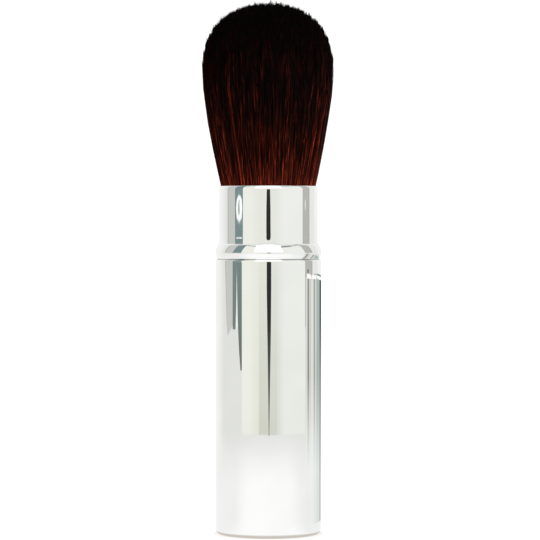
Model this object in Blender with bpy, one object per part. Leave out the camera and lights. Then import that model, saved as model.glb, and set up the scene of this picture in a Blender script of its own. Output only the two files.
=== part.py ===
"""Retractable makeup brush: a bright metal barrel and beaded sleeve, and a round powder brush that a
twist of the sleeve draws down into the barrel. Two pins on the brush's carrier pass through upright
slots in the sleeve's guide tube and run in two spiral grooves fixed in the barrel. Metres, +Z up,
origin at the centre of the base. Run it with blender --background --python part.py."""
import math
import random

import bmesh
import bpy
from mathutils import Matrix, Vector
from mathutils.geometry import delaunay_2d_cdt

MM = 0.001

# Clearances
running_gap = 0.3 * MM
seat_gap = 0.3 * MM
merge_distance = 0.005 * MM
cut_overrun = 1.0 * MM

# Barrel, a deep drawn cup
barrel_radius = 11.0 * MM
barrel_wall = 0.35 * MM
barrel_floor = 0.6 * MM
barrel_foot_radius = 1.0 * MM
barrel_lip_chamfer = 0.12 * MM

# Pad and ballast on the barrel floor
pad_height = 0.5 * MM
pad_inset = 0.9 * MM
ballast_height = 3.3 * MM
ballast_chamfer = 0.4 * MM

# Spiral tube, fixed in the barrel
spiral_wall = 1.0 * MM
spiral_groove_depth = 0.65 * MM
spiral_land = 0.6 * MM
spiral_recess = 0.9 * MM
spiral_turns = 1.5
damper_height = 2.8 * MM
damper_wall = 0.4 * MM
washer_height = 0.5 * MM

# Guide tube, which turns with the sleeve
guide_wall = 0.75 * MM
guide_foot_lift = 0.3 * MM
guide_lip_height = 0.6 * MM
guide_head_height = 6.2 * MM
snap_ring_height = 0.5 * MM
snap_ring_wall = 0.75 * MM
snap_ring_bite = 0.4 * MM
snap_ring_angle = math.radians(310)

# Sleeve with its rolled bead, and the liner in its mouth
sleeve_show = 12.3 * MM
sleeve_wall = 0.4 * MM
sleeve_edge_radius = 0.25 * MM
sleeve_fillet = 0.3 * MM
bead_overhang = 0.15 * MM
bead_height = 3.1 * MM
bead_edge_inset = 0.2 * MM
bead_widest_share = 0.42
liner_height = 5.7 * MM
liner_lip = 0.4 * MM

# Carrier, with a drive pin on each side
pin_radius = 1.0 * MM
carrier_skirt = 1.5 * MM
carrier_shoulder_height = 4.0 * MM
carrier_wall = 1.5 * MM
carrier_roof = 1.6 * MM
spigot_height = 2.5 * MM

# Ferrule, glue and hair
ferrule_height = 7.0 * MM
ferrule_wall = 0.35 * MM
ferrule_lip = 1.0 * MM
crimp_depth = 0.25 * MM
crimp_height = 0.9 * MM
brush_recess = 13.0 * MM
hair_backing_height = 1.0 * MM
hair_length = 38.5 * MM
hair_cover = 0.5 * MM
hair_neck_height = 1.3 * MM
hair_neck_inset = 0.1 * MM
hair_flare = 3.85 * MM
hair_dome_height = 14.8 * MM
strand_radius = 0.24 * MM
strand_tip_length = 3.2 * MM
strand_tip_scatter = 1.0 * MM
dome_power = 2.5
inner_strand_count = 100
outer_strand_count = 210
inner_seed = 3
outer_seed = 8
bundle_gap = 0.3 * MM

# Facets
show_facets = 48
hidden_facets = 36
groove_facets = 36
pin_facets = 12
arc_steps = 4
smooth_angle = math.radians(32)

# Radii that follow from what each piece fits
bore_radius = barrel_radius - barrel_wall
spiral_radius = bore_radius - seat_gap
spiral_bore_radius = spiral_radius - spiral_wall
groove_radius = spiral_bore_radius + spiral_groove_depth
guide_radius = spiral_bore_radius - running_gap
guide_bore_radius = guide_radius - guide_wall
snap_ring_radius = spiral_bore_radius + snap_ring_bite
counterbore_radius = snap_ring_radius + running_gap
sleeve_radius = bore_radius - running_gap
sleeve_bore_radius = sleeve_radius - sleeve_wall
head_radius = sleeve_bore_radius - seat_gap
bead_radius = barrel_radius + bead_overhang
carrier_radius = guide_bore_radius - running_gap
pin_reach = groove_radius - running_gap
ferrule_bore_radius = carrier_radius - ferrule_wall
spigot_radius = ferrule_bore_radius - seat_gap
strand_margin = strand_radius + seat_gap / 2
hair_foot_radius = spigot_radius - strand_radius - seat_gap
hair_neck_radius = sleeve_bore_radius - hair_neck_inset
hair_max_radius = sleeve_bore_radius + hair_flare
inner_bundle_radius = carrier_radius * hair_foot_radius / hair_max_radius + strand_margin - strand_radius

# Spiral: the pins' travel, and the room that a round pin needs in a sloping groove
travel = hair_length + hair_cover
pitch = travel / spiral_turns
slope = math.atan(pitch / (math.tau * spiral_bore_radius))
groove_half = (pin_radius + running_gap) / math.cos(slope)
groove_end_angle = (pin_radius + 2 * running_gap) / spiral_bore_radius
groove_end_drop = pitch * groove_end_angle / math.tau

# Heights, stacked from the base upwards. The barrel is as tall as the brush's travel makes it
pad_bottom = barrel_floor + seat_gap
ballast_bottom = pad_bottom + pad_height + seat_gap
spiral_bottom = ballast_bottom + ballast_height + seat_gap
guide_bottom = spiral_bottom + guide_foot_lift
snap_groove_bottom = guide_bottom + guide_lip_height
snap_ring_bottom = snap_groove_bottom + seat_gap
snap_ring_top = snap_ring_bottom + snap_ring_height
spiral_shoulder = snap_ring_top + running_gap
pin_low = spiral_shoulder + spiral_land + groove_end_drop + groove_half
pin_high = pin_low + travel
carrier_bottom = pin_high - pin_radius - carrier_skirt
carrier_top = pin_high + carrier_shoulder_height
spigot_top = carrier_top + spigot_height
ferrule_bottom = carrier_top + seat_gap
ferrule_top = ferrule_bottom + ferrule_height
hair_backing_top = ferrule_top - ferrule_lip
hair_backing_bottom = hair_backing_top - hair_backing_height
glue_bottom = spigot_top + seat_gap
glue_top = hair_backing_bottom - seat_gap
sleeve_top = ferrule_top + brush_recess
bead_top = sleeve_top - sleeve_show
sleeve_bottom = bead_top - bead_height
barrel_height = sleeve_bottom - running_gap
spiral_top = barrel_height - spiral_recess
damper_top = spiral_top - seat_gap
damper_bottom = damper_top - damper_height
washer_bottom = spiral_top + running_gap
guide_head_bottom = washer_bottom + washer_height + running_gap
guide_head_top = guide_head_bottom + guide_head_height
liner_bottom = guide_head_top + seat_gap
liner_top = liner_bottom + liner_height
hair_top = sleeve_top + hair_length
hair_shoulder = hair_top - hair_dome_height
hair_neck = sleeve_top + hair_neck_height


def clear_scene():
    for old in list(bpy.data.objects):
        bpy.data.objects.remove(old, do_unlink=True)


def material(name, colour, metallic, roughness):
    made = bpy.data.materials.new(name)
    made.use_nodes = True
    shader = made.node_tree.nodes["Principled BSDF"]
    shader.inputs["Base Color"].default_value = (*colour, 1)
    shader.inputs["Metallic"].default_value = metallic
    shader.inputs["Roughness"].default_value = roughness
    made.diffuse_color = (*colour, 1)
    return made


def polished_aluminium():
    return material("polished_aluminium", (0.90, 0.91, 0.90), 1, 0.06)


def satin_aluminium():
    return material("satin_aluminium", (0.78, 0.78, 0.77), 1, 0.30)


def zinc_steel():
    return material("zinc_steel", (0.50, 0.51, 0.52), 1, 0.35)


def spring_steel():
    return material("spring_steel", (0.62, 0.62, 0.63), 1, 0.25)


def black_moulding():
    return material("black_moulding", (0.03, 0.03, 0.032), 0, 0.45)


def white_nylon():
    return material("white_nylon", (0.82, 0.81, 0.77), 0, 0.40)


def black_rubber():
    return material("black_rubber", (0.02, 0.02, 0.02), 0, 0.70)


def foam_pad():
    return material("foam_pad", (0.75, 0.73, 0.68), 0, 0.90)


def amber_glue():
    return material("amber_glue", (0.45, 0.26, 0.08), 0, 0.30)


def brush_hair():
    return material("brush_hair", (0.06, 0.016, 0.010), 0, 0.60)


def add_piece(name, bm, finish, parent=None):
    bmesh.ops.recalc_face_normals(bm, faces=bm.faces[:])
    mesh = bpy.data.meshes.new(name)
    bm.to_mesh(mesh)
    bm.free()
    mesh.shade_smooth()
    mesh.set_sharp_from_angle(angle=smooth_angle)
    mesh.materials.append(finish)
    piece = bpy.data.objects.new(name, mesh)
    bpy.context.scene.collection.objects.link(piece)
    piece.parent = parent
    return piece


def turned(profile, facets, closed):
    """Spin a profile of (radius, height) points about Z. A closed profile is a ring."""
    bm = bmesh.new()
    points = [bm.verts.new((radius, 0, height)) for radius, height in profile]
    ends = points[1:] + points[:1] if closed else points[1:]
    edges = [bm.edges.new(pair) for pair in zip(points, ends)]
    bmesh.ops.spin(bm, geom=points + edges, cent=(0, 0, 0), axis=(0, 0, 1), angle=math.tau,
                   steps=facets, use_merge=False, use_duplicate=False)
    bmesh.ops.remove_doubles(bm, verts=bm.verts[:], dist=merge_distance)
    return bm


def arc(centre, radii, start, end, steps):
    """Points on an ellipse's arc, angles in degrees from +radius toward +height."""
    points = []
    for step in range(steps + 1):
        angle = math.radians(start + (end - start) * step / steps)
        points.append((centre[0] + radii[0] * math.cos(angle), centre[1] + radii[1] * math.sin(angle)))
    return points


def washer(inner, outer, bottom, top):
    return [(inner, bottom), (outer, bottom), (outer, top), (inner, top)]


def crimp(radius, middle, depth, height):
    """A V groove rolled into a wall, from its lower edge to its upper edge."""
    return [(radius, middle - height / 2), (radius - depth, middle), (radius, middle + height / 2)]


def subtract(piece, name, bm, operation="DIFFERENCE"):
    """Cut a closed shape from a piece, or join it on. The cutter is a guide and isn't a node."""
    cutter = add_piece(name, bm, piece.data.materials[0], piece.parent)
    cutter.hide_render = True
    cutter.display_type = "WIRE"
    cut = piece.modifiers.new(name, "BOOLEAN")
    cut.operation = operation
    cut.object = cutter


def build_barrel(finish):
    foot = arc((barrel_radius - barrel_foot_radius, barrel_foot_radius),
               (barrel_foot_radius, barrel_foot_radius), -90, 0, arc_steps)
    corner = barrel_foot_radius - barrel_wall
    inner_foot = arc((bore_radius - corner, barrel_floor + corner), (corner, corner), 0, -90, 2)
    profile = [(0, 0)] + foot
    profile += [(barrel_radius, barrel_height - barrel_lip_chamfer)]
    profile += [(barrel_radius - barrel_lip_chamfer, barrel_height), (bore_radius, barrel_height)]
    profile += inner_foot + [(0, barrel_floor)]
    return add_piece("barrel", turned(profile, show_facets, False), finish)


def build_adhesive_pad(finish):
    radius = bore_radius - pad_inset
    pad_top = pad_bottom + pad_height
    profile = [(0, pad_bottom), (radius, pad_bottom), (radius, pad_top), (0, pad_top)]
    return add_piece("adhesive_pad", turned(profile, hidden_facets, False), finish)


def build_ballast(finish):
    radius = bore_radius - seat_gap
    inset = radius - ballast_chamfer
    top = ballast_bottom + ballast_height
    profile = [(0, ballast_bottom), (inset, ballast_bottom), (radius, ballast_bottom + ballast_chamfer)]
    profile += [(radius, top - ballast_chamfer), (inset, top), (0, top)]
    return add_piece("ballast", turned(profile, hidden_facets, False), finish)


def groove_cutter(start):
    """A spiral of rectangular section that a carrier pin sweeps as the sleeve turns once and a half."""
    sweep = math.tau * spiral_turns + 2 * groove_end_angle
    steps = math.ceil(groove_facets * sweep / math.tau)
    bm = bmesh.new()
    sections = []
    for step in range(steps + 1):
        turn = sweep * step / steps - groove_end_angle
        height = pin_high - pitch * turn / math.tau
        out = Vector((math.cos(start + turn), math.sin(start + turn), 0))
        inner = out * (spiral_bore_radius - cut_overrun)
        outer = out * groove_radius
        rise = Vector((0, 0, groove_half))
        middle = Vector((0, 0, height))
        corners = [inner - rise, outer - rise, outer + rise, inner + rise]
        sections.append([bm.verts.new(middle + corner) for corner in corners])
    for low, high in zip(sections, sections[1:]):
        for i in range(4):
            j = (i + 1) % 4
            bm.faces.new((low[i], low[j], high[j], high[i]))
    bm.faces.new(sections[0][::-1])
    bm.faces.new(sections[-1])
    return bm


def build_spiral_tube(finish):
    shelf = damper_bottom - seat_gap
    profile = [(counterbore_radius, spiral_bottom), (spiral_radius, spiral_bottom)]
    profile += [(spiral_radius, spiral_top), (counterbore_radius, spiral_top)]
    profile += [(counterbore_radius, shelf), (spiral_bore_radius, shelf)]
    profile += [(spiral_bore_radius, spiral_shoulder), (counterbore_radius, spiral_shoulder)]
    tube = add_piece("spiral_tube", turned(profile, hidden_facets, True), finish)
    for side in range(2):
        subtract(tube, f"spiral_groove_{side + 1}", groove_cutter(math.pi * side))
    return tube


def build_damper_ring(finish):
    inner = guide_radius + running_gap
    profile = washer(inner, inner + damper_wall, damper_bottom, damper_top)
    return add_piece("damper_ring", turned(profile, hidden_facets, True), finish)


def build_thrust_washer(finish):
    profile = washer(guide_radius + running_gap, spiral_radius, washer_bottom,
                     washer_bottom + washer_height)
    return add_piece("thrust_washer", turned(profile, hidden_facets, True), finish)


def build_guide_tube(finish, parent):
    neck = snap_ring_radius - snap_ring_wall - seat_gap
    profile = [(guide_bore_radius, guide_bottom), (guide_radius, guide_bottom)]
    profile += [(guide_radius, snap_groove_bottom), (neck, snap_groove_bottom)]
    profile += [(neck, snap_ring_top + seat_gap), (guide_radius, snap_ring_top + seat_gap)]
    profile += [(guide_radius, guide_head_bottom), (head_radius, guide_head_bottom)]
    profile += [(head_radius, guide_head_top), (guide_bore_radius, guide_head_top)]
    tube = add_piece("guide_tube", turned(profile, hidden_facets, True), finish, parent)
    half = pin_radius + running_gap
    slot = bmesh.new()
    bmesh.ops.create_cube(slot, size=1)
    size = (2 * (guide_radius + cut_overrun), 2 * half, travel + 2 * half)
    bmesh.ops.transform(slot, matrix=Matrix.Diagonal((*size, 1)), verts=slot.verts[:])
    bmesh.ops.translate(slot, vec=(0, 0, (pin_low + pin_high) / 2), verts=slot.verts[:])
    subtract(tube, "guide_slots", slot)
    return tube


def build_snap_ring(finish, parent):
    section = washer(snap_ring_radius - snap_ring_wall, snap_ring_radius, snap_ring_bottom, snap_ring_top)
    bm = bmesh.new()
    face = bm.faces.new([bm.verts.new((radius, 0, height)) for radius, height in section])
    bmesh.ops.spin(bm, geom=[face] + face.edges[:] + face.verts[:], cent=(0, 0, 0), axis=(0, 0, 1),
                   angle=snap_ring_angle, steps=hidden_facets, use_merge=False, use_duplicate=False)
    return add_piece("snap_ring", bm, finish, parent)


def build_sleeve(finish, parent):
    widest = sleeve_bottom + bead_height * bead_widest_share
    crest = sleeve_radius + sleeve_fillet
    lower = arc((bead_radius - bead_edge_inset, widest), (bead_edge_inset, widest - sleeve_bottom),
                -90, 0, 3)
    upper = arc((crest, widest), (bead_radius - crest, bead_top - widest), 0, 90, 5)
    fillet = arc((crest, bead_top + sleeve_fillet), (sleeve_fillet, sleeve_fillet), -90, -180, 2)
    rim = arc((sleeve_radius - sleeve_edge_radius, sleeve_top - sleeve_edge_radius),
              (sleeve_edge_radius, sleeve_edge_radius), 0, 90, 3)
    profile = [(sleeve_bore_radius, sleeve_bottom)] + lower + upper[1:] + fillet[1:] + rim
    profile += [(sleeve_bore_radius, sleeve_top)]
    return add_piece("sleeve", turned(profile, show_facets, True), finish, parent)


def build_mouth_liner(finish, parent):
    profile = [(guide_bore_radius, liner_bottom), (head_radius, liner_bottom)]
    profile += [(head_radius, liner_top), (head_radius - liner_lip, liner_top)]
    return add_piece("mouth_liner", turned(profile, hidden_facets, True), finish, parent)


def drive_pin(side):
    """A round pin that stands out of the carrier's wall along X."""
    root = carrier_radius - carrier_wall / 2
    bm = bmesh.new()
    bmesh.ops.create_cone(bm, cap_ends=True, segments=pin_facets, radius1=pin_radius,
                          radius2=pin_radius, depth=pin_reach - root)
    bmesh.ops.rotate(bm, matrix=Matrix.Rotation(math.pi / 2, 3, "Y"), verts=bm.verts[:])
    bmesh.ops.translate(bm, vec=(side * (root + pin_reach) / 2, 0, pin_high), verts=bm.verts[:])
    return bm


def build_carrier(finish, parent):
    hollow = carrier_radius - carrier_wall
    roof = carrier_top - carrier_roof
    middle = (ferrule_bottom + spigot_top) / 2
    groove = crimp(spigot_radius, middle, crimp_depth, crimp_height + 2 * seat_gap)
    profile = [(0, spigot_top), (spigot_radius, spigot_top)] + groove[::-1]
    profile += [(spigot_radius, carrier_top), (carrier_radius, carrier_top)]
    profile += [(carrier_radius, carrier_bottom), (hollow, carrier_bottom), (hollow, roof), (0, roof)]
    carrier = add_piece("carrier", turned(profile, hidden_facets, False), finish, parent)
    for side in (1, -1):
        subtract(carrier, "drive_pin", drive_pin(side), "UNION")
    return carrier


def build_ferrule(finish, parent):
    middle = (ferrule_bottom + spigot_top) / 2
    outer = crimp(carrier_radius, middle, crimp_depth, crimp_height)
    inner = crimp(ferrule_bore_radius, middle, crimp_depth, crimp_height)
    profile = [(ferrule_bore_radius, ferrule_bottom), (carrier_radius, ferrule_bottom)] + outer
    profile += [(carrier_radius, ferrule_top), (ferrule_bore_radius, ferrule_top)] + inner[::-1]
    return add_piece("ferrule", turned(profile, hidden_facets, True), finish, parent)


def build_glue_plug(finish, parent):
    profile = [(0, glue_bottom), (spigot_radius, glue_bottom), (spigot_radius, glue_top), (0, glue_top)]
    return add_piece("glue_plug", turned(profile, hidden_facets, False), finish, parent)


def ring_points(radius, count):
    return [Vector((radius * math.cos(math.tau * i / count), radius * math.sin(math.tau * i / count)))
            for i in range(count)]


def strand_feet(low, high, count):
    """Strand centres spread evenly over a disc or ring, by the golden angle."""
    golden = math.pi * (3 - math.sqrt(5))
    feet = []
    for i in range(count):
        share = (i + 0.5) / count
        radius = math.sqrt(low * low + (high * high - low * low) * share)
        feet.append((radius, golden * i))
    return feet


def strand_stations(share, scatter):
    """Heights up one strand, with the hair's full radius at each and the strand's own width."""
    tip = hair_shoulder + hair_dome_height * (1 - share ** dome_power) ** (1 / dome_power) - scatter
    full = tip - strand_tip_length
    reach = min(1, (full - hair_neck) / (hair_shoulder - hair_neck))
    full_radius = hair_neck_radius + (hair_max_radius - hair_neck_radius) * reach
    return [(hair_neck, hair_neck_radius, 1), (full, full_radius, 1), (tip, hair_max_radius, 0)]


def build_bristles(name, low, high, count, seed, finish, parent):
    """Strands rise from a slice of their backing, which is triangulated round their feet."""
    scatter = random.Random(seed)
    edge_count = hidden_facets
    flat = ring_points(high, edge_count)
    if low:
        flat += ring_points(low, edge_count)
    rims = [list(range(start, start + edge_count)) for start in range(0, len(flat), edge_count)]
    edges = [(rim[i], rim[(i + 1) % edge_count]) for rim in rims for i in range(edge_count)]
    strands = []
    for radius, angle in strand_feet(low + strand_margin if low else 0, high - strand_margin, count):
        first = len(flat)
        centre = Vector((radius * math.cos(angle), radius * math.sin(angle)))
        flat += [centre + corner for corner in turned_corners(angle)]
        edges += [(first, first + 1), (first + 1, first + 2), (first + 2, first)]
        strands.append((first, radius, angle))
    coords, _, faces, origins, _, _ = delaunay_2d_cdt(flat, edges, [], 0, merge_distance / 10)
    renamed = {old: new for new, olds in enumerate(origins) for old in olds}
    feet = {frozenset(renamed[first + k] for k in range(3)) for first, _, _ in strands}
    bm = bmesh.new()
    top = [bm.verts.new((point[0], point[1], hair_backing_top)) for point in coords]
    hole = low * math.cos(math.pi / edge_count)
    for face in faces:
        middle = sum((Vector(coords[i]) for i in face), Vector((0, 0))) / 3
        if frozenset(face) not in feet and (not low or middle.length > hole):
            bm.faces.new([top[i] for i in face])
    bottoms = []
    for rim in rims:
        upper = [top[renamed[i]] for i in rim]
        lower = [bm.verts.new((v.co.x, v.co.y, hair_backing_bottom)) for v in upper]
        bottoms.append(lower)
        for i in range(edge_count):
            j = (i + 1) % edge_count
            bm.faces.new((upper[i], upper[j], lower[j], lower[i]))
    if low:
        for i in range(edge_count):
            j = (i + 1) % edge_count
            bm.faces.new((bottoms[0][i], bottoms[0][j], bottoms[1][j], bottoms[1][i]))
    else:
        bm.faces.new(bottoms[0])
    for first, radius, angle in strands:
        share = radius / hair_foot_radius
        ring = [top[renamed[first + k]] for k in range(3)]
        stations = strand_stations(share, scatter.random() * strand_tip_scatter)
        for height, full_radius, width in stations:
            growth = full_radius / hair_foot_radius * width
            centre = Vector((math.cos(angle), math.sin(angle))) * share * full_radius
            if width:
                spread = [centre + corner * growth for corner in turned_corners(angle)]
                upper = [bm.verts.new((point.x, point.y, height)) for point in spread]
                for i in range(3):
                    j = (i + 1) % 3
                    bm.faces.new((ring[i], ring[j], upper[j], upper[i]))
                ring = upper
            else:
                tip = bm.verts.new((centre.x, centre.y, height))
                for i in range(3):
                    bm.faces.new((ring[i], ring[(i + 1) % 3], tip))
    return add_piece(name, bm, finish, parent)


def turned_corners(angle):
    """Three corners of a strand's section, one of them pointing outward."""
    return [Vector((strand_radius * math.cos(angle + math.tau * k / 3),
                    strand_radius * math.sin(angle + math.tau * k / 3))) for k in range(3)]


def build_hair(finish, parent):
    build_bristles("bristles_inner", 0, inner_bundle_radius, inner_strand_count, inner_seed, finish,
                   parent)
    build_bristles("bristles_outer", inner_bundle_radius + bundle_gap, hair_foot_radius + strand_radius,
                   outer_strand_count, outer_seed, finish, parent)


def joint_empty(name, parent=None):
    empty = bpy.data.objects.new(name, None)
    bpy.context.scene.collection.objects.link(empty)
    empty.parent = parent
    return empty


def build_brush():
    bright = polished_aluminium()
    nylon = white_nylon()
    black = black_moulding()
    build_barrel(bright)
    build_adhesive_pad(foam_pad())
    build_ballast(zinc_steel())
    build_spiral_tube(black)
    build_damper_ring(black_rubber())
    build_thrust_washer(nylon)
    twist = joint_empty("twist")
    build_guide_tube(nylon, twist)
    build_snap_ring(spring_steel(), twist)
    build_sleeve(bright, twist)
    build_mouth_liner(black, twist)
    lift = joint_empty("brush_lift", twist)
    build_carrier(nylon, lift)
    build_ferrule(satin_aluminium(), lift)
    build_glue_plug(amber_glue(), lift)
    build_hair(brush_hair(), lift)


clear_scene()
build_brush()
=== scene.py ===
import math

import bmesh
import bpy
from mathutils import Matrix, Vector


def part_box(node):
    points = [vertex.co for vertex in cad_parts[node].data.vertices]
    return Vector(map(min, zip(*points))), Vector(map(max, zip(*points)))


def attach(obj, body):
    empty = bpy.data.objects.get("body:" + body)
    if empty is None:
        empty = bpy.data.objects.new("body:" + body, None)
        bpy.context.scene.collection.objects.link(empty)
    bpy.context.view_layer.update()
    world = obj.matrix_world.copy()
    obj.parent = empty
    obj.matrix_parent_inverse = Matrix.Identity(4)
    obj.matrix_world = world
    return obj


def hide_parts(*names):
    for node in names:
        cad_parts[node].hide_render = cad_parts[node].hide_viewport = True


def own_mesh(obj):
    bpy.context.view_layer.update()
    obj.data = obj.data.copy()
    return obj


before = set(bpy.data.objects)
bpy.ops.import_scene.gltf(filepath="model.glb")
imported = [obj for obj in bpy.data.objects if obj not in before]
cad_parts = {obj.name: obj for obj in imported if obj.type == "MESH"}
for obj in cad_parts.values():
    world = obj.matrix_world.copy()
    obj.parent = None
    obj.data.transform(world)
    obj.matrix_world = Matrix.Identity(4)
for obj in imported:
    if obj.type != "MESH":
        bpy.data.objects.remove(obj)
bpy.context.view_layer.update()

# Barrel
# A cup deep drawn from aluminium sheet, its base closed and its edge rounded. It is turned true at the
# mouth, mirror polished and lacquered, and everything else goes in from the mouth.

MM = 0.001

# The barrel is drawn a shade wider than in the CAD, and the seam above it narrower
radius_allowance = 0.10 * MM
seam_allowance = 0.13 * MM

barrel_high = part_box("barrel")[1]
barrel_radius = barrel_high[0] + radius_allowance
barrel_top = barrel_high[2] + seam_allowance
barrel_wall = 0.35 * MM
barrel_floor = 0.6 * MM
barrel_foot_radius = 1.0 * MM
barrel_lip_radius = 0.16 * MM
barrel_lip_height = 0.45 * MM
barrel_colour = (0.905, 0.91, 0.90, 1)
barrel_rubbed_colour = (0.875, 0.88, 0.87, 1)


class Field:
    """A value inside a node tree. Arithmetic on it adds Math nodes to that tree."""

    def __init__(self, tree, socket):
        self.tree = tree
        self.socket = socket

    def math(self, operation, *values):
        made = place(self.tree, "ShaderNodeMath", dict(enumerate(values)), operation=operation)
        return Field(self.tree, made.outputs[0])

    def __add__(self, other):
        return self.math("ADD", self, other)

    def __sub__(self, other):
        return self.math("SUBTRACT", self, other)

    def __rsub__(self, other):
        return self.math("SUBTRACT", other, self)

    def __mul__(self, other):
        return self.math("MULTIPLY", self, other)

    def __truediv__(self, other):
        return self.math("DIVIDE", self, other)

    def __pow__(self, other):
        return self.math("POWER", self, other)

    def between(self, low, high, easing="LINEAR"):
        """How far the value is from low to high, held to 0 and 1."""
        limits = {"Value": self, "From Min": low, "From Max": high}
        made = place(self.tree, "ShaderNodeMapRange", limits, interpolation_type=easing)
        return Field(self.tree, made.outputs[0])

    def smooth(self, low, high):
        """The same, but slow to leave 0 and slow to reach 1."""
        return self.between(low, high, "SMOOTHSTEP")

    __radd__ = __add__
    __rmul__ = __mul__


def place(tree, kind, inputs=None, **settings):
    """Adds a node to a tree. Each input is a plain value, a field or another node's socket."""
    made = tree.nodes.new(kind)
    for name, value in settings.items():
        setattr(made, name, value)
    for key, value in (inputs or {}).items():
        source = value.socket if isinstance(value, Field) else value
        if isinstance(source, bpy.types.NodeSocket):
            tree.links.new(source, made.inputs[key])
        else:
            made.inputs[key].default_value = source
    return made


def mixed_colour(tree, share, first, second):
    """The first colour where the share is 0 and the second where it is 1."""
    made = place(tree, "ShaderNodeMix", {0: share, 6: first, 7: second}, data_type="RGBA")
    return made.outputs[2]


def handled_surface():
    """Shader group for a handled surface: fine grain, and soft patches where it has been rubbed."""
    group = bpy.data.node_groups.new("handled_surface", "ShaderNodeTree")
    for label, kind in (("Colour", "NodeSocketColor"), ("Rubbed Colour", "NodeSocketColor"),
                        ("Grain", "NodeSocketVector"), ("Patches", "NodeSocketFloat"),
                        ("Smoothest", "NodeSocketFloat"), ("Roughest", "NodeSocketFloat")):
        group.interface.new_socket(label, in_out="INPUT", socket_type=kind)
    for label, kind in (("Colour", "NodeSocketColor"), ("Roughness", "NodeSocketFloat"),
                        ("Height", "NodeSocketFloat")):
        group.interface.new_socket(label, in_out="OUTPUT", socket_type=kind)
    given = place(group, "NodeGroupInput").outputs
    coordinates = place(group, "ShaderNodeTexCoord").outputs["Object"]
    stretched = place(group, "ShaderNodeVectorMath", {0: coordinates, 1: given["Grain"]},
                      operation="MULTIPLY")
    grain = Field(group, place(group, "ShaderNodeTexNoise", {
        "Vector": stretched.outputs[0], "Scale": 1, "Detail": 3, "Roughness": 0.6}).outputs["Fac"])
    patches = Field(group, place(group, "ShaderNodeTexNoise", {
        "Vector": coordinates, "Scale": given["Patches"], "Detail": 2}).outputs["Fac"])
    rubbed = patches.smooth(0.42, 0.66)
    worn = rubbed * 0.7 + grain * 0.3
    smoothest = Field(group, given["Smoothest"])
    roughest = Field(group, given["Roughest"])
    roughness = smoothest + (roughest - smoothest) * worn
    colour = mixed_colour(group, worn, given["Colour"], given["Rubbed Colour"])
    place(group, "NodeGroupOutput", {"Colour": colour, "Roughness": roughness, "Height": grain})
    return group


surface_group = handled_surface()


def finish(name, colour, rubbed_colour, grain, patches, smoothest, roughest, relief, **constants):
    """A material on the handled surface. Grain is in repeats per metre along X, Y and Z."""
    made = bpy.data.materials.new(name)
    made.use_nodes = True
    tree = made.node_tree
    shader = tree.nodes["Principled BSDF"]
    surface = place(tree, "ShaderNodeGroup", node_tree=surface_group)
    for label, value in (("Colour", colour), ("Rubbed Colour", rubbed_colour), ("Grain", grain),
                         ("Patches", patches), ("Smoothest", smoothest), ("Roughest", roughest)):
        surface.inputs[label].default_value = value
    tree.links.new(surface.outputs["Colour"], shader.inputs["Base Color"])
    tree.links.new(surface.outputs["Roughness"], shader.inputs["Roughness"])
    bump = place(tree, "ShaderNodeBump", {"Height": surface.outputs["Height"], "Distance": relief})
    tree.links.new(bump.outputs["Normal"], shader.inputs["Normal"])
    for label, value in constants.items():
        shader.inputs[label.replace("_", " ")].default_value = value
    return made


def arc(centre, radii, start, end, steps):
    """Points on an ellipse's arc, angles in degrees from outward toward up."""
    points = []
    for step in range(steps + 1):
        angle = math.radians(start + (end - start) * step / steps)
        points.append((centre[0] + radii[0] * math.cos(angle), centre[1] + radii[1] * math.sin(angle)))
    return points


def braced(profile, closed):
    """Adds a point close to each end of a long straight run, so that its mirror stays true."""
    hold = 0.04 * MM
    long_run = 10 * hold
    ends = profile[1:] + profile[:1] if closed else profile[1:]
    points = []
    for near, far in zip(profile, ends):
        length = math.dist(near, far)
        points.append(near)
        if length > long_run:
            for share in (hold / length, 1 - hold / length):
                points.append((near[0] + (far[0] - near[0]) * share,
                               near[1] + (far[1] - near[1]) * share))
    return points if closed else points + [profile[-1]]


def turned(name, profile, material, closed=True, facets=192, sharpest=35):
    """Turns a profile of (radius, height) points about the centre line. A closed profile is a ring.
    Only edges that turn more than the sharpest angle, in degrees, are left sharp."""
    weld = 0.001 * MM
    points = braced(profile, closed)
    bm = bmesh.new()
    line = [bm.verts.new((radius, 0, height)) for radius, height in points]
    ends = line[1:] + line[:1] if closed else line[1:]
    edges = [bm.edges.new(pair) for pair in zip(line, ends)]
    bmesh.ops.spin(bm, geom=line + edges, cent=(0, 0, 0), axis=(0, 0, 1), angle=math.tau,
                   steps=facets, use_merge=False, use_duplicate=False)
    bmesh.ops.remove_doubles(bm, verts=bm.verts[:], dist=weld)
    bmesh.ops.recalc_face_normals(bm, faces=bm.faces[:])
    mesh = bpy.data.meshes.new(name)
    bm.to_mesh(mesh)
    bm.free()
    mesh.shade_smooth()
    mesh.set_sharp_from_angle(angle=math.radians(sharpest))
    mesh.materials.append(material)
    made = bpy.data.objects.new(name, mesh)
    bpy.context.scene.collection.objects.link(made)
    return made


polished_aluminium = finish("polished_aluminium", barrel_colour, barrel_rubbed_colour,
                            grain=(500, 500, 160), patches=90, smoothest=0.008, roughest=0.035,
                            relief=0.0006 * MM, Metallic=1)


def barrel_profile():
    bore = barrel_radius - barrel_wall
    inner_foot = barrel_foot_radius - barrel_wall
    profile = [(0, 0)]
    profile += arc((barrel_radius - barrel_foot_radius, barrel_foot_radius),
                   (barrel_foot_radius, barrel_foot_radius), -90, 0, 14)
    profile += arc((barrel_radius - barrel_lip_radius, barrel_top - barrel_lip_height),
                   (barrel_lip_radius, barrel_lip_height), 0, 90, 10)
    profile += [(bore, barrel_top)]
    profile += arc((bore - inner_foot, barrel_floor + inner_foot), (inner_foot, inner_foot), 0, -90, 6)
    return profile + [(0, barrel_floor)]


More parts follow.
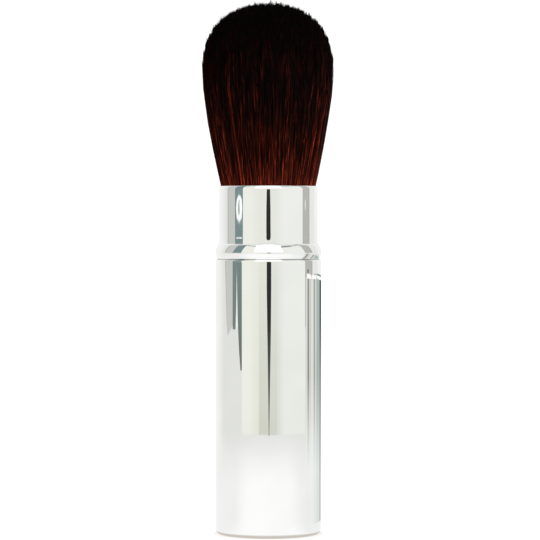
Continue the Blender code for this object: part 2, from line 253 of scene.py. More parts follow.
barrel = turned("barrel_shell", barrel_profile(), polished_aluminium, closed=False)
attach(barrel, "base")
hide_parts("barrel")

# Pad and ballast
# A disc of double-sided foam tape holds a zinc plated steel slug to the barrel's floor, so that so slim
# a brush stands steadily. Both are out of sight once the spiral tube is in.


def dress(node, material):
    """Gives a CAD node a finer material in place of its plain one."""
    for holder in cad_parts[node].material_slots:
        holder.material = material


foam_tape = finish("foam_tape", (0.75, 0.73, 0.68, 1), (0.66, 0.63, 0.56, 1), grain=(4200, 4200, 4200),
                   patches=500, smoothest=0.8, roughest=0.95, relief=0.06 * MM)
zinc_plate = finish("zinc_plate", (0.52, 0.53, 0.54, 1), (0.42, 0.43, 0.46, 1), grain=(900, 900, 5200),
                    patches=260, smoothest=0.26, roughest=0.45, relief=0.004 * MM, Metallic=1)
dress("adhesive_pad", foam_tape)
dress("ballast", zinc_plate)

# Spiral tube, damper ring and thrust washer
# The spiral tube is moulded in black plastic with two grooves that run once and a half round its bore,
# and is pressed into the barrel. A rubber ring in its mouth damps the twist, and a nylon washer lies
# on its top for the sleeve's weight to turn on.

black_moulding = finish("black_moulding", (0.030, 0.030, 0.032, 1), (0.046, 0.046, 0.048, 1),
                        grain=(3600, 3600, 3600), patches=320, smoothest=0.34, roughest=0.52,
                        relief=0.012 * MM)
damper_rubber = finish("damper_rubber", (0.020, 0.020, 0.020, 1), (0.035, 0.034, 0.032, 1),
                       grain=(5200, 5200, 5200), patches=420, smoothest=0.58, roughest=0.78,
                       relief=0.02 * MM)
natural_nylon = finish("natural_nylon", (0.82, 0.81, 0.77, 1), (0.76, 0.74, 0.68, 1),
                       grain=(2400, 2400, 2400), patches=240, smoothest=0.34, roughest=0.48,
                       relief=0.008 * MM, Subsurface_Weight=0.15, Subsurface_Scale=0.001)
dress("spiral_tube", black_moulding)
dress("damper_ring", damper_rubber)
dress("thrust_washer", natural_nylon)

# Guide tube and snap ring
# The guide tube is moulded in nylon with an upright slot on each side for the carrier's pins. Its head
# is pressed into the sleeve, and a spring steel ring in its foot keeps it down in the spiral tube.

spring_steel = finish("spring_steel", (0.62, 0.62, 0.63, 1), (0.50, 0.50, 0.52, 1),
                      grain=(5200, 5200, 900), patches=380, smoothest=0.18, roughest=0.34,
                      relief=0.003 * MM, Metallic=1)
dress("guide_tube", natural_nylon)
dress("snap_ring", spring_steel)

# Sleeve and mouth liner
# The sleeve is drawn from the same bright aluminium as the barrel. Its rim is rolled smooth for the
# hair, and its foot is spun out into the bead that the fingers turn. A black funnel lines its mouth.

sleeve_low, sleeve_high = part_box("sleeve")
bead_radius = sleeve_high[0]
running_gap = 0.40 * MM
rim_allowance = 0.15 * MM
sleeve_bottom = sleeve_low[2] - seam_allowance
sleeve_top = sleeve_high[2] - rim_allowance
sleeve_radius = barrel_radius - barrel_wall - running_gap
sleeve_wall = 0.4 * MM
bead_height = 3.0 * MM
bead_widest_share = 0.47
bead_ridge_radius = 1.0 * MM
bead_ridge_turn = 11
bead_flank_turn = 27
bead_foot_turn = 85
bead_corner_radius = 0.05 * MM
bead_crest_inset = 0.13 * MM
bead_fillet_height = 1.8 * MM
rim_depth = 0.8 * MM
rim_inset = 0.32 * MM
rim_bore_drop = 0.05 * MM


def bend(start, radius, first, last, steps):
    """Points on a round bend from a point on. Its outer face turns from one angle to another."""
    angle = math.radians(first)
    centre = (start[0] - radius * math.cos(angle), start[1] - radius * math.sin(angle))
    return arc(centre, (radius, radius), first, last, steps)


def bead_side(widest, height, way):
    """One side of the bead: a small round ridge, then an almost straight flank. Way is 1 for up."""
    ridge = bend((bead_radius, widest), bead_ridge_radius, 0, way * bead_ridge_turn, 6)
    rise = height - abs(ridge[-1][1] - widest)
    share = math.sin(math.radians(bead_flank_turn)) - math.sin(math.radians(bead_ridge_turn))
    return ridge + bend(ridge[-1], rise / share, way * bead_ridge_turn, way * bead_flank_turn, 10)[1:]


def sleeve_profile():
    bore = sleeve_radius - sleeve_wall
    widest = sleeve_bottom + bead_height * bead_widest_share
    bead_top = sleeve_bottom + bead_height
    foot = bead_side(widest, widest - sleeve_bottom - bead_corner_radius, -1)
    foot += bend(foot[-1], bead_corner_radius * 2, -bead_flank_turn, -bead_foot_turn, 5)[1:]
    profile = [(bore, foot[-1][1])] + foot[:0:-1] + bead_side(widest, bead_top - widest, 1)
    profile += arc((sleeve_radius + bead_crest_inset, bead_top + bead_fillet_height),
                   (bead_crest_inset, bead_fillet_height), -120, -180, 10)
    profile += arc((sleeve_radius - rim_inset, sleeve_top - rim_depth),
                   (rim_inset, rim_depth), 0, 90, 12)
    return profile + [(bore, sleeve_top - rim_bore_drop)]


sleeve = turned("beaded_sleeve", sleeve_profile(), polished_aluminium)
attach(sleeve, "twist_sleeve")
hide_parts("sleeve")
dress("mouth_liner", black_moulding)

# Carrier, ferrule and glue
# The carrier is the nylon slider with a drive pin on each side. The brush's own ferrule, a satin
# aluminium tube, is crimped to it, and amber resin fills the ferrule and binds the hair's root.

satin_aluminium = finish("satin_aluminium", (0.78, 0.78, 0.77, 1), (0.70, 0.70, 0.69, 1),
                         grain=(700, 700, 6500), patches=220, smoothest=0.24, roughest=0.38,
                         relief=0.003 * MM, Metallic=1)
amber_resin = finish("amber_resin", (0.45, 0.26, 0.08, 1), (0.30, 0.15, 0.04, 1), grain=(900, 900, 900),
                     patches=300, smoothest=0.16, roughest=0.34, relief=0.02 * MM, Coat_Weight=0.3)
dress("carrier", natural_nylon)
dress("ferrule", satin_aluminium)
dress("glue_plug", amber_resin)

# Hair
# Soft dyed hair in a round bundle, bound at its root in the ferrule. It flares out of the sleeve to a
# full round head, its tips graded to a dome. It is auburn at the sleeve and near black above.

hair_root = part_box("bristles_outer")[0][2] + 1.0 * MM
hair_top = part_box("bristles_inner")[1][2]
hair_root_radius = 6.9 * MM
hair_neck = sleeve_top - 0.18 * MM
hair_neck_radius = sleeve_radius - sleeve_wall - 0.06 * MM
hair_dome_height = 15.1 * MM
hair_widest = hair_top - 14.8 * MM
hair_widest_radius = 13.6 * MM
hair_radius = 0.075 * MM
hair_count = 2000
hair_points = 8
hair_sectors = 16
hair_seed_step = 10

# Powers of the outline: an ellipse has a dome of 0.5, a straight cone has a flare of 1, and hairs that
# stand evenly have a crowding of 0.5
dome_roundness = 0.35
flare_roundness = 1.5
outward_crowding = 0.42

# Shares of the radius up to which the hairs are short and from which they are whole. A short hair's
# length is a share of the dome's height
short_until = 0.66
whole_from = 0.72
short_length = 0.6

# Powers that keep the uneven hairs few. The higher, the fewer
low_hair_power = 4
high_hair_power = 30
high_lock_power = 24

# How locks and tufts draw together, the more so toward the tips, and how much less they sway outward
tuft_slope = 0.7
tuft_pull_power = 6
lock_tip_pull = 0.7
lock_pull_power = 12
outward_sway = 0.15

# Each hair's tip tapers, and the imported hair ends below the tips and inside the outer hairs
taper_start = 0.85
taper = 0.6
packed_rise = 0.86
packed_tone = 0.2
packed_core = 0.02
packed_depth = 0.88

# The auburn's strength and the height over which it fades, first at the sleeve and then above it
auburn_rim, auburn_rim_fade = 0.028, 1.8 * MM
auburn_neck, auburn_neck_fade = 0.062, 9.0 * MM
auburn_least = 0.0022
auburn_most = 0.7
auburn_hue = (1, 0.112, 0.046)
black_dye = (0.0006, 0.0016, 0.0014)
dye_contrast = 2.9

# How unevenly the dye took: by the lock, by the hair and in streaks, less an even part
dye_by_lock = 0.5
dye_by_hair = 0.9
dye_by_streak = 3.0
dye_even = 2.25
streak_spread = (60, 6, 9)


def named(tree, name):
    """Reads a value that is kept on each point."""
    read = place(tree, "GeometryNodeInputNamedAttribute", {"Name": name}, data_type="FLOAT")
    return Field(tree, read.outputs["Attribute"])


def stored(tree, geometry, name, value, data_type="FLOAT"):
    """Keeps a value on each point under a name."""
    given = {"Geometry": geometry, "Name": name, "Value": value}
    made = place(tree, "GeometryNodeStoreNamedAttribute", given, data_type=data_type, domain="POINT")
    return made.outputs["Geometry"]


def random_share(tree, seed, offset):
    """A random number from 0 to 1 for each point."""
    made = place(tree, "FunctionNodeRandomValue", {"Seed": Field(tree, seed) + offset},
                 data_type="FLOAT")
    return Field(tree, made.outputs[1])


def parts(tree, vector):
    """The three numbers in a vector or a colour."""
    made = place(tree, "ShaderNodeSeparateXYZ", {0: vector})
    return [Field(tree, output) for output in made.outputs]


def vector_of(tree, x=0, y=0, z=0):
    return place(tree, "ShaderNodeCombineXYZ", {"X": x, "Y": y, "Z": z}).outputs[0]


def bends(tree, first, second, along, apart=(97, 89), often=2.6):
    """Two bends about zero, which change slowly along a hair. Two shares tell the hairs apart."""
    noise = place(tree, "ShaderNodeTexNoise", {
        "Vector": vector_of(tree, first * apart[0], second * apart[1], along * often),
        "Scale": 1, "Detail": 0})
    return [part - 0.5 for part in parts(tree, noise.outputs["Color"])[:2]]


def hair_tree():
    """Geometry Nodes tree for one sector of the head: its hairs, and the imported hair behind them."""
    tree = bpy.data.node_groups.new("hair_sector", "GeometryNodeTree")
    for label in ("Root", "Root Radius", "Neck", "Neck Radius", "Widest", "Widest Radius",
                  "Dome Height", "Hair Radius", "Start", "Sweep", "Lean", "Shift", "Scatter", "Sway",
                  "Stray", "Fringe", "Tuft Scale", "Tuft Depth", "Tuft Gather", "Lock Scale",
                  "Lock Depth", "Lock Gather"):
        tree.interface.new_socket(label, in_out="INPUT", socket_type="NodeSocketFloat")
    for label in ("Count", "Points", "Seed"):
        tree.interface.new_socket(label, in_out="INPUT", socket_type="NodeSocketInt")
    tree.interface.new_socket("Material", in_out="INPUT", socket_type="NodeSocketMaterial")
    tree.interface.new_socket("Geometry", in_out="OUTPUT", socket_type="NodeSocketGeometry")
    given = place(tree, "NodeGroupInput").outputs
    size = {socket.name: Field(tree, socket) for socket in given if socket.type == "VALUE"}

    share = named(tree, "share")
    turn = named(tree, "turn")
    rise = named(tree, "rise")
    tone = named(tree, "tone")
    angle = size["Start"] + size["Sweep"] * turn
    cosine = angle.math("COSINE", angle)
    sine = angle.math("SINE", angle)
    across = share * cosine
    along = share * sine

    # Hairs cling together in fine locks, and the locks' ends in tufts
    spot_x = across * size["Widest Radius"]
    spot_y = along * size["Widest Radius"]
    spot = vector_of(tree, spot_x, spot_y)
    tuft = place(tree, "ShaderNodeTexVoronoi", {"Vector": spot, "Scale": size["Tuft Scale"]}).outputs
    lock = place(tree, "ShaderNodeTexVoronoi", {"Vector": spot, "Scale": size["Lock Scale"]}).outputs
    tuft_x, tuft_y, _ = parts(tree, tuft["Position"])
    lock_x, lock_y, _ = parts(tree, lock["Position"])
    lock_tone, lock_turn, lock_end = parts(tree, lock["Color"])

    # Each hair ends on the dome, a little short at a tuft's edge. A few hairs and locks stand out
    dome = (1 - share * share) ** dome_roundness
    tip = size["Widest"] + size["Dome Height"] * dome - size["Lean"] * across
    tip = tip - size["Tuft Depth"] * Field(tree, tuft["Distance"]) ** tuft_slope
    tip = tip - size["Lock Depth"] * lock_end - size["Scatter"] * tone ** low_hair_power
    tip = tip + size["Fringe"] * (lock_turn ** high_lock_power + (1 - tone) ** high_hair_power)

    # Only the outer hairs show over their whole length, so the inner ones start below the dome
    short_root = tip - size["Dome Height"] * short_length
    root = short_root + (size["Root"] - short_root) * share.smooth(short_until, whole_from)
    height = root + (tip - root) * rise

    # The bundle's outline: straight inside the sleeve, then swelling to the widest place
    in_sleeve = (height - size["Root"]) / (size["Neck"] - size["Root"])
    flare = ((height - size["Neck"]) / (size["Widest"] - size["Neck"])).between(0, 1)
    swell = 1 - (1 - flare) ** flare_roundness
    reach = size["Root Radius"] + (size["Neck Radius"] - size["Root Radius"]) * in_sleeve.between(0, 1)
    reach = reach + (size["Widest Radius"] - size["Neck Radius"]) * swell
    spread = reach / size["Widest Radius"]

    # Locks cross and weave round the bundle, and each hair strays a little from its lock
    sway = bends(tree, lock_tone, lock_turn, rise)
    stray = bends(tree, turn + share, tone, rise)
    round_sway = sway[0] * size["Sway"] * flare
    out_sway = sway[1] * size["Sway"] * outward_sway * flare
    tuft_pull = size["Tuft Gather"] * rise ** tuft_pull_power
    lock_pull = size["Lock Gather"] * (1 + lock_tip_pull * rise ** lock_pull_power)
    pulled_x = spot_x + (tuft_x - spot_x) * tuft_pull + (lock_x - spot_x) * lock_pull
    pulled_y = spot_y + (tuft_y - spot_y) * tuft_pull + (lock_y - spot_y) * lock_pull
    position = vector_of(
        tree, pulled_x * spread - sine * round_sway + cosine * out_sway
        + stray[0] * size["Stray"] * flare - size["Shift"] * flare,
        pulled_y * spread + cosine * round_sway + sine * out_sway
        + stray[1] * size["Stray"] * flare, height)

    # The hairs
    points = place(tree, "GeometryNodePoints", {"Count": given["Count"]}).outputs[0]
    points = stored(tree, points, "share", random_share(tree, given["Seed"], 0) ** outward_crowding)
    points = stored(tree, points, "turn", random_share(tree, given["Seed"], 1))
    points = stored(tree, points, "tone", random_share(tree, given["Seed"], 2))
    line = place(tree, "GeometryNodeCurvePrimitiveLine").outputs[0]
    line = place(tree, "GeometryNodeResampleCurve",
                 {"Curve": line, "Count": given["Points"]}).outputs[0]
    hairs = place(tree, "GeometryNodeInstanceOnPoints", {"Points": points, "Instance": line}).outputs[0]
    hairs = place(tree, "GeometryNodeRealizeInstances", {0: hairs}).outputs[0]
    hairs = stored(tree, hairs, "rise",
                   Field(tree, place(tree, "GeometryNodeSplineParameter").outputs["Factor"]))
    hairs = place(tree, "GeometryNodeSetPosition",
                  {"Geometry": hairs, "Position": position}).outputs[0]
    section = place(tree, "GeometryNodeCurvePrimitiveCircle", {"Resolution": 3, "Radius": 1}).outputs[0]
    hairs = place(tree, "GeometryNodeCurveToMesh", {
        "Curve": hairs, "Profile Curve": section, "Fill Caps": True,
        "Scale": size["Hair Radius"] * (1 - taper * rise.smooth(taper_start, 1))}).outputs[0]

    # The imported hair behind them, a wedge bent to the same outline
    wedge = place(tree, "GeometryNodeMeshCube",
                  {"Vertices X": 7, "Vertices Y": 4, "Vertices Z": 12}).outputs["Mesh"]
    corner_x, corner_y, corner_z = parts(tree, place(tree, "GeometryNodeInputPosition").outputs[0])
    wedge = stored(tree, wedge, "turn", corner_y + 0.5)
    wedge = stored(tree, wedge, "rise", (corner_z + 0.5) * packed_rise)
    wedge = stored(tree, wedge, "tone", packed_tone)
    wedge = stored(tree, wedge, "share", packed_core + (corner_x + 0.5) * packed_depth)
    wedge = place(tree, "GeometryNodeSetPosition",
                  {"Geometry": wedge, "Position": position}).outputs[0]

    both = place(tree, "GeometryNodeJoinGeometry")
    tree.links.new(hairs, both.inputs[0])
    tree.links.new(wedge, both.inputs[0])
    marked = stored(tree, both.outputs[0], "strand", vector_of(tree, lock_tone, tone, rise),
                    "FLOAT_VECTOR")
    smooth = place(tree, "GeometryNodeSetShadeSmooth", {"Geometry": marked}).outputs[0]
    real = place(tree, "GeometryNodeRealizeInstances", {0: smooth}).outputs[0]
    dyed = place(tree, "GeometryNodeSetMaterial", {"Geometry": real, "Material": given["Material"]})
    place(tree, "NodeGroupOutput", {"Geometry": dyed.outputs[0]})
    return tree


def dyed_hair():
    """Auburn at the sleeve and near black above. Each lock took the dye more or less deeply."""
    made = bpy.data.materials.new("dyed_hair")
    made.use_nodes = True
    tree = made.node_tree
    shader = tree.nodes["Principled BSDF"]
    upright = parts(tree, place(tree, "ShaderNodeTexCoord").outputs["Object"])[2]
    above = upright.math("MAXIMUM", upright - sleeve_top, 0)
    auburn = auburn_rim * above.math("EXPONENT", above / -auburn_rim_fade)
    auburn = auburn + auburn_neck * above.math("EXPONENT", above / -auburn_neck_fade) + auburn_least
    strand = place(tree, "ShaderNodeAttribute", attribute_name="strand").outputs["Vector"]
    lock_tone, tone, rise = parts(tree, strand)
    spread = [part * often for part, often in zip((lock_tone, tone, rise), streak_spread)]
    streak = Field(tree, place(tree, "ShaderNodeTexNoise", {
        "Vector": vector_of(tree, *spread), "Scale": 1, "Detail": 1.5}).outputs["Fac"])
    depth = lock_tone * dye_by_lock + tone * dye_by_hair + streak * dye_by_streak - dye_even
    taken = auburn * depth.math("EXPONENT", depth * dye_contrast)
    redness = auburn.math("MINIMUM", taken, auburn_most)
    colour = place(tree, "ShaderNodeVectorMath", {0: redness, 1: auburn_hue, 2: black_dye},
                   operation="MULTIPLY_ADD")
    tree.links.new(colour.outputs[0], shader.inputs["Base Color"])
    roughness = 0.45 + 0.2 * tone
    tree.links.new(roughness.socket, shader.inputs["Roughness"])
    shader.inputs["Specular IOR Level"].default_value = 0.02
    return made


hair_dye = dyed_hair()
sector_tree = hair_tree()
sector_sockets = {item.name: item.identifier for item in sector_tree.interface.items_tree
                  if item.in_out == "INPUT"}
sector_sweep = math.tau / hair_sectors
sector_sizes = {
    "Root": hair_root, "Root Radius": hair_root_radius, "Neck": hair_neck,
    "Neck Radius": hair_neck_radius, "Widest": hair_widest, "Widest Radius": hair_widest_radius,
    "Dome Height": hair_dome_height, "Hair Radius": hair_radius, "Sweep": sector_sweep,
    "Lean": -0.1 * MM, "Shift": 0.15 * MM, "Scatter": 1.2 * MM, "Sway": 3.8 * MM, "Stray": 0.5 * MM,
    "Fringe": 0.75 * MM, "Tuft Scale": 1300, "Tuft Depth": 0.9 * MM, "Tuft Gather": 0.5,
    "Lock Scale": 2850, "Lock Depth": 0.45 * MM, "Lock Gather": 0.4,
    "Count": hair_count, "Points": hair_points, "Material": hair_dye,
}
for sector in range(hair_sectors):
    start = sector_sweep * sector
    grower = bpy.data.objects.new("hair_grower", bpy.data.meshes.new("hair_grower"))
    bpy.context.scene.collection.objects.link(grower)
    growth = grower.modifiers.new("hair", "NODES")
    growth.node_group = sector_tree
    for label, value in dict(sector_sizes, Start=start, Seed=hair_seed_step * sector).items():
        growth[sector_sockets[label]] = value
    grown = grower.evaluated_get(bpy.context.evaluated_depsgraph_get())
    mesh = bpy.data.meshes.new_from_object(grown)
    bpy.data.objects.remove(grower)
    hair = bpy.data.objects.new(f"hair_{sector + 1:02d}", mesh)
    bpy.context.scene.collection.objects.link(hair)
    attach(hair, "brush")
    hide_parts("bristles_inner", "bristles_outer")
    middle = start + sector_sweep / 2
    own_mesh(hair)

# Camera
# It stands level with the sleeve, a little over half a metre in front, and looks very slightly down.
# The brush nearly fills the picture's height, its centre line a pixel or two left of the middle.

image_width = 540
pixels_per_metre = 4751
axis_pixel = 268.4
eye_height = 64.9 * MM
eye_distance = 560 * MM
aim_height = 55.5 * MM
eye_right = (image_width / 2 - axis_pixel) / pixels_per_metre

camera_data = bpy.data.cameras.new("photo_camera")
camera_data.sensor_width = 36
camera_data.lens = camera_data.sensor_width * eye_distance * pixels_per_metre / image_width
camera = bpy.data.objects.new("photo_camera", camera_data)
bpy.context.scene.collection.objects.link(camera)
camera.location = (eye_right, -eye_distance, eye_height)
camera.rotation_euler = (math.pi / 2 - math.atan((eye_height - aim_height) / eye_distance), 0, 0)
bpy.context.scene.camera = camera

# Studio
# A white table and rings of paper cards round the brush, unseen by the camera, which the metal mirrors:
# grey and blue-grey on the left, cream with a dark gap in front, pale and grey on the right.


def lit_paper(name, upper, lower, low, high):
    """Paper that gives out plain light, graded from one height to another."""
    made = bpy.data.materials.new(name)
    made.use_nodes = True
    tree = made.node_tree
    tree.nodes.clear()
    coordinates = place(tree, "ShaderNodeTexCoord").outputs["Object"]
    upright = parts(tree, coordinates)[2]
    colour = mixed_colour(tree, upright.between(low, high), (*lower, 1), (*upper, 1))
    light = place(tree, "ShaderNodeEmission", {"Color": colour})
    place(tree, "ShaderNodeOutputMaterial", {"Surface": light.outputs[0]})
    return made


def hung(name, grid, paper):
    """A sheet through a grid of points, seen in reflections and never by the camera."""
    bm = bmesh.new()
    rows = [[bm.verts.new(point) for point in row] for row in grid]
    for low, high in zip(rows, rows[1:]):
        for i in range(len(low) - 1):
            bm.faces.new((low[i], low[i + 1], high[i + 1], high[i]))
    mesh = bpy.data.meshes.new(name)
    bm.to_mesh(mesh)
    bm.free()
    mesh.materials.append(paper)
    made = bpy.data.objects.new(name, mesh)
    bpy.context.scene.collection.objects.link(made)
    made.visible_camera = False
    made.visible_shadow = False
    return made


def card(name, rows, distance, upper, lower=None, drop=0, columns=16, grade=(0, eye_height)):
    """A card bent round the brush. Each row is a height and two ends, in degrees round from the camera.
    Its two colours are graded between two heights, and its far end may drop."""
    grid = []
    for height, start, end in rows:
        row = []
        for column in range(columns + 1):
            angle = math.radians(start + (end - start) * column / columns)
            row.append((distance * math.sin(angle), -distance * math.cos(angle),
                        height - drop * column / columns))
        grid.append(row)
    return hung(name, grid, lit_paper(name, upper, lower or upper, *grade))


def ring(distance, slope):
    """A distance for cards, and the height that they reach there at a slope up from the eye."""
    return distance, eye_height + slope * distance


near_distance = 285 * MM
middle_distance = 630 * MM
grey_distance = 1000 * MM
far_distance = 1150 * MM
card_step = 5 * MM

front_ring = ring(near_distance, 0.21)
pale_ring = ring(near_distance, 0.80)
cream_ring = ring(near_distance, 0.93)
far_ring = ring(far_distance, 1.5)
edge_ring = ring(far_distance - card_step, 1.5)
pale_top = pale_ring[1]
cream_top = cream_ring[1]
blue_top = ring(middle_distance, 1.5)[1]
grey_top = ring(grey_distance, 1.5)[1]
far_top = far_ring[1]

for name, start, end, (distance, top), upper, lower in (
        ("back_left", -180, -134, far_ring, (0.965, 0.965, 0.955), None),
        ("side_left_1", -134, -124, far_ring, (0.925, 0.925, 0.91), None),
        ("side_left_2", -124, -116, far_ring, (0.875, 0.875, 0.86), None),
        ("side_left_3", -116, -100, far_ring, (0.83, 0.83, 0.815), None),
        ("behind_blue", -100, -61, far_ring, (0.94, 0.95, 0.95), None),
        ("cream_2", -38, -32.5, cream_ring, (0.920, 0.93, 0.865), (0.905, 0.915, 0.83)),
        ("cream_3", -32.5, -25, front_ring, (0.905, 0.915, 0.85), (0.88, 0.89, 0.80)),
        ("cream_4", -25, -20, front_ring, (0.895, 0.905, 0.84), (0.86, 0.87, 0.78)),
        ("front_left", -20, 0, front_ring, (0.880, 0.895, 0.822), (0.690, 0.705, 0.615)),
        ("front_right", 0, 19, front_ring, (0.872, 0.882, 0.828), (0.700, 0.720, 0.640)),
        ("pale_1", 19, 26, front_ring, (0.895, 0.905, 0.86), (0.80, 0.81, 0.75)),
        ("pale_2", 26, 32.5, front_ring, (0.918, 0.926, 0.888), (0.86, 0.87, 0.82)),
        ("pale_3", 32.5, 86, pale_ring, (0.942, 0.950, 0.912), (0.90, 0.91, 0.87)),
        ("grey_right", 86, 111, far_ring, (0.520, 0.520, 0.495), None),
        ("edge_right", 109.4, 111.6, edge_ring, (0.40, 0.40, 0.385), None),
        ("side_right", 111, 136, far_ring, (0.885, 0.885, 0.87), None),
        ("back_right", 136, 180, far_ring, (0.965, 0.965, 0.955), None)):
    card(name, [(0, start, end), (top, start, end)], distance, upper, lower)

# A grey card straight behind, for the finest line at the metal's edges
card("dusk_back", [(0, 171, 189), (far_top, 171, 189)],
     far_distance - 2 * card_step, (0.66, 0.66, 0.65))

# Cards cut to an outline, which the upright metal shows as bands that narrow toward the table
card("grey_left", [(1 * MM, -100.5, -99), (6 * MM, -102.5, -86), (9 * MM, -103.5, -80),
                   (23 * MM, -105.6, -80), (43 * MM, -108.5, -80), (60 * MM, -110, -80),
                   (grey_top, -110, -80)],
     grey_distance, (0.62, 0.627, 0.60))
card("edge_left", [(8 * MM, -103.5, -103), (23 * MM, -105.6, -104), (43 * MM, -108.5, -106.5),
                   (60 * MM, -110, -107.4), (grey_top, -110, -107.4)],
     grey_distance - card_step, (0.45, 0.46, 0.44))
card("cream_1", [(0, -58.8, -38), (54 * MM, -58.8, -38), (59 * MM, -60.8, -38),
                 (cream_top, -60.8, -38)],
     near_distance, (0.942, 0.95, 0.88), (0.935, 0.945, 0.865))
blue_paper = (0.212, 0.292, 0.292)
card("blue_outer", [(19 * MM, -84, -76), (28 * MM, -84, -74), (46 * MM, -84, -72.4),
                    (blue_top, -84, -72.4)],
     middle_distance, blue_paper, (0.186, 0.225, 0.20))
card("blue_inner", [(1 * MM, -63, -58), (11 * MM, -67, -58), (24 * MM, -70, -58),
                    (46 * MM, -72.4, -58), (blue_top, -72.4, -58)],
     middle_distance, blue_paper, (0.176, 0.190, 0.170))
card("gap", [(0, 0.7, 1.9), (9 * MM, 0, 2.7), (22 * MM, -1.2, 4.1), (32 * MM, -2.2, 5.2),
             (46 * MM, -3.5, 6), (54 * MM, -3.5, 6), (64 * MM, -4.8, 5), (70 * MM, -4.6, 4.8),
             (75 * MM, -3.9, 4.1), (78 * MM, -2.6, 2.8), (79.5 * MM, -1, 1.2)],
     near_distance - card_step, (0.030, 0.031, 0.029), (0.18, 0.19, 0.17), grade=(0, 36 * MM))

# Above the side cards the room is darker
card("dark_left", [(cream_top, -61, -33), (cream_top + 26 * MM, -61, -33)],
     near_distance, (0.34, 0.37, 0.37))
card("dark_right", [(pale_top, 33, 62), (pale_top + 60 * MM, 33, 60)],
     near_distance, (0.30, 0.31, 0.30))
card("dusk_right", [(pale_top, 62, 86), (pale_top + 150 * MM, 60, 84)],
     near_distance, (0.60, 0.61, 0.60))

# A lamp before the blue-grey paper, and a glint on the right
card("lamp_glass", [(66.5 * MM, -73, -70), (68 * MM, -79, -65), (72.5 * MM, -81, -63),
                    (76.4 * MM, -78.5, -64.5), (78 * MM, -74, -69)],
     middle_distance - card_step, (1.1, 1.12, 1.12))
card("lamp_bulb", [(69.5 * MM, -73, -71), (71 * MM, -75, -70), (74 * MM, -75, -71),
                   (76 * MM, -72.5, -70.5)],
     middle_distance - 2 * card_step, (0.42, 0.45, 0.43))
card("glint", [(74 * MM, 96, 96.4), (78 * MM, 94.8, 97), (82 * MM, 95.8, 96.2)],
     far_distance - card_step, (1.1, 1.1, 1.1))

# A low ribbed screen close behind the barrel's right side glows in painted bright and dark bands, a
# painted reflection that puts fine upright lines in that edge. It adds no light to the table, and its
# top edge falls a little toward the back
screen_distance = 30 * MM
screen_start = 75
screen_top = 53.8 * MM
screen_lean = 0.013 * MM
screen_side_grade = (12 * MM, 32 * MM)
screen_rear_grade = (8 * MM, 44 * MM)
screen_rear_start = 125


def screen_edge(turn):
    """Height of the screen's top edge, so many degrees round from the camera."""
    return screen_top - (turn - screen_start) * screen_lean


for name, start, end, upper, lower in (
        ("rib_1", 74.6, 79.2, (0.76, 0.765, 0.74), (0.95, 0.95, 0.95)),
        ("rib_2", 79.2, 83.0, (0.26, 0.26, 0.24), (0.95, 0.95, 0.94)),
        ("rib_3", 83.0, 90.0, (0.66, 0.67, 0.63), (0.95, 0.96, 0.94)),
        ("rib_4", 90.0, 97.0, (0.83, 0.83, 0.80), (0.95, 0.96, 0.95)),
        ("rib_5", 97.0, 100.7, (0.62, 0.63, 0.60), (0.92, 0.93, 0.92)),
        ("rib_6", 100.7, 104.4, (0.35, 0.37, 0.34), (0.89, 0.90, 0.89)),
        ("rib_7", 104.4, 110.5, (0.72, 0.74, 0.70), (0.90, 0.91, 0.90)),
        ("rib_8", 110.5, 127.0, (0.44, 0.52, 0.50), (0.80, 0.84, 0.83)),
        ("rib_9", 127.0, 136.0, (0.20, 0.27, 0.25), (0.56, 0.60, 0.59)),
        ("rib_10", 136.0, 179.0, (0.016, 0.036, 0.030), (0.70, 0.73, 0.72))):
    rib = card(name, [(0, start, end), (screen_edge(start), start, end)],
               screen_distance, upper, lower, drop=(end - start) * screen_lean, columns=4,
               grade=screen_rear_grade if start > screen_rear_start else screen_side_grade)
    rib.visible_diffuse = False

# Painted highlights and painted shade, in small bright and dark strips along the screen's top edge,
# from low to high millimetres above it
for name, start, end, low, high, colour in (
        ("glint_1", 77, 89.5, -0.3, 0.7, (1.12, 1.12, 1.12)),
        ("glint_2", 91.5, 108, -0.2, 0.6, (1.12, 1.12, 1.12)),
        ("glint_3", 113, 142, -0.1, 0.6, (1.05, 1.12, 1.12)),
        ("shade_1", 78, 82.5, 0.9, 1.7, (0.22, 0.24, 0.23)),
        ("shade_2", 99, 112, 0.7, 1.0, (0.50, 0.52, 0.50)),
        ("shade_3", 112, 150, 0.65, 1.05, (0.20, 0.26, 0.25))):
    low_edge = screen_edge(start) + low * MM
    high_edge = screen_edge(start) + high * MM
    corner_turn = 0.12 * (end - start)
    corner_height = 0.2 * MM
    strip = card(name, [(low_edge, start + corner_turn, end - corner_turn),
                        (low_edge + corner_height, start, end),
                        (high_edge - corner_height, start, end),
                        (high_edge, start + corner_turn, end - corner_turn)],
                 screen_distance - 0.5 * MM, colour, drop=(end - start) * screen_lean, columns=8)
    strip.visible_diffuse = False


def overhead_light(name, half_turn, low, high, distance, colour, steps=12):
    """A softbox above the camera, bent to face the brush. Its edges are angles in degrees."""
    grid = []
    for row in range(steps + 1):
        lift = math.radians(low + (high - low) * row / steps)
        flat = distance * math.cos(lift)
        height = eye_height + distance * math.sin(lift)
        turns = [math.radians(half_turn * (2 * column / steps - 1)) for column in range(steps + 1)]
        grid.append([(flat * math.sin(turn), -flat * math.cos(turn), height) for turn in turns])
    return hung(name, grid, lit_paper(name, colour, colour, 0, 1))


overhead_light("softbox", half_turn=36, low=11, high=82, distance=900 * MM, colour=(1.3, 1.3, 1.3))


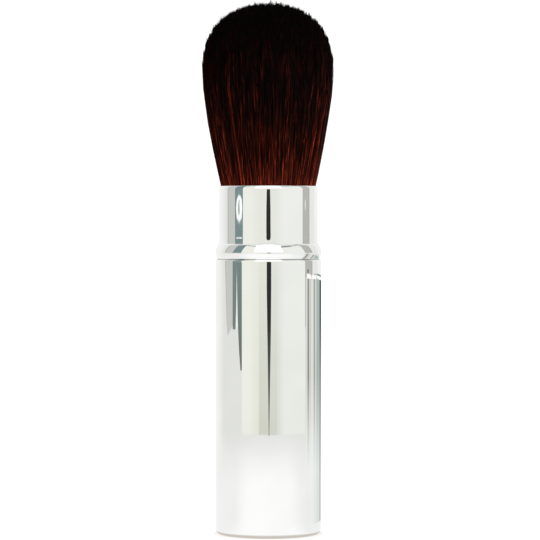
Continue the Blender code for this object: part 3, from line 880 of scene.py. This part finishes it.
def table_top():
    """White paper. It shows white to the camera and keeps the brush's shadow. The metal mirrors painted
    light on it, brighter close by and behind than far in front, and painted shade near the foot, greyer
    at a steep angle."""
    made = bpy.data.materials.new("table_paper")
    made.use_nodes = True
    tree = made.node_tree
    tree.nodes.clear()
    coordinates = place(tree, "ShaderNodeTexCoord").outputs["Object"]
    away = Field(tree, place(tree, "ShaderNodeVectorMath", {0: coordinates}, operation="LENGTH"
                             ).outputs["Value"])
    behind = parts(tree, coordinates)[1] / away
    # Painted light on the paper as the metal mirrors it: brightest close by in front, greyer far in
    # front
    far = mixed_colour(tree, behind.smooth(0.3, 0.85),
                       (0.835, 0.84, 0.815, 1), (0.965, 0.97, 0.955, 1))
    near = mixed_colour(tree, behind.smooth(-0.85, -0.2),
                        (1.08, 1.08, 1.08, 1), (0.965, 0.967, 0.965, 1))
    mirrored = mixed_colour(tree, away.smooth(100 * MM, 330 * MM), near, far)
    path = place(tree, "ShaderNodeLightPath").outputs

    # Painted shade: the paper is greyer to a mirrored ray that comes down steeply near the foot, most
    # of all behind
    facing = Field(tree, place(tree, "ShaderNodeLayerWeight", {"Blend": 0.5}).outputs["Facing"])
    steep_shade = facing.smooth(0.10, 0.20) * (1 - facing.smooth(0.3, 0.72))
    steep_shade = steep_shade * (1 - away.smooth(26 * MM, 46 * MM)) * Field(tree, path["Is Glossy Ray"])
    shade = mixed_colour(tree, behind.smooth(-0.9, 0.6),
                         (0.88, 0.885, 0.875, 1), (0.42, 0.425, 0.42, 1))
    mirrored = mixed_colour(tree, steep_shade, mirrored, shade)

    # Where the brush touches the paper, a thin warm shadow
    contact = away.between(barrel_radius + 0.1 * MM, barrel_radius + 1.2 * MM)
    mirrored = mixed_colour(tree, contact, (0.66, 0.61, 0.57, 1), mirrored)
    seen = mixed_colour(tree, contact, (1.0, 0.96, 0.92, 1), (1.25, 1.25, 1.25, 1))
    colour = mixed_colour(tree, path["Is Camera Ray"], mirrored, seen)
    light = place(tree, "ShaderNodeEmission", {"Color": colour})
    paper = place(tree, "ShaderNodeBsdfDiffuse", {"Color": (0.9, 0.9, 0.9, 1)})
    both = place(tree, "ShaderNodeMixShader", {0: Field(tree, path["Is Camera Ray"]) * 0.2,
                                               1: light.outputs[0], 2: paper.outputs[0]})
    place(tree, "ShaderNodeOutputMaterial", {"Surface": both.outputs[0]})
    return made


bpy.ops.mesh.primitive_circle_add(vertices=96, radius=6, fill_type="NGON", location=(0, 0, 0))
table = bpy.context.object
table.name = "table"
table.data.materials.append(table_top())


def room_light():
    """White to the camera, and a soft grey room for everything else."""
    world = bpy.data.worlds.new("room")
    world.use_nodes = True
    tree = world.node_tree
    path = place(tree, "ShaderNodeLightPath").outputs
    colour = mixed_colour(tree, path["Is Camera Ray"], (0.85, 0.86, 0.85, 1), (1.1, 1.1, 1.1, 1))
    tree.links.new(colour, tree.nodes["Background"].inputs["Color"])
    return world


bpy.context.scene.world = room_light()
bpy.context.scene.view_settings.view_transform = "Standard"
